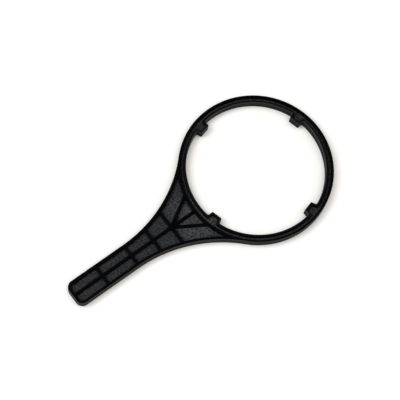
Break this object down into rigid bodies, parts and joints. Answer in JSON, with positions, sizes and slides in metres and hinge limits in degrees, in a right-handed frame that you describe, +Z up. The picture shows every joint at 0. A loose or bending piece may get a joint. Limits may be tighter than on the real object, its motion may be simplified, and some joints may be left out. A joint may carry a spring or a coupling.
{
  "type": "filter housing wrench",
  "caption": "One-piece plastic wrench for water filter housings: a channelled ring with inward lugs and a flared, ribbed flat handle.",
  "frame": {"origin": "on the underside, below the middle of the whole length and width; the ring's centre is 61.5 mm along +X", "axes": "-X along the handle, +X through the ring, +Z up out of the face, lying flat"},
  "size_m": [0.2552, 0.1322, 0.009],
  "materials": {
    "black_plastic": "injection-moulded black plastic: smooth, half-glossy rims and ribs, finely textured matt floors"
  },
  "bodies": {
    "root": {"wrench_body": "black_plastic"}
  },
  "joints": []
}
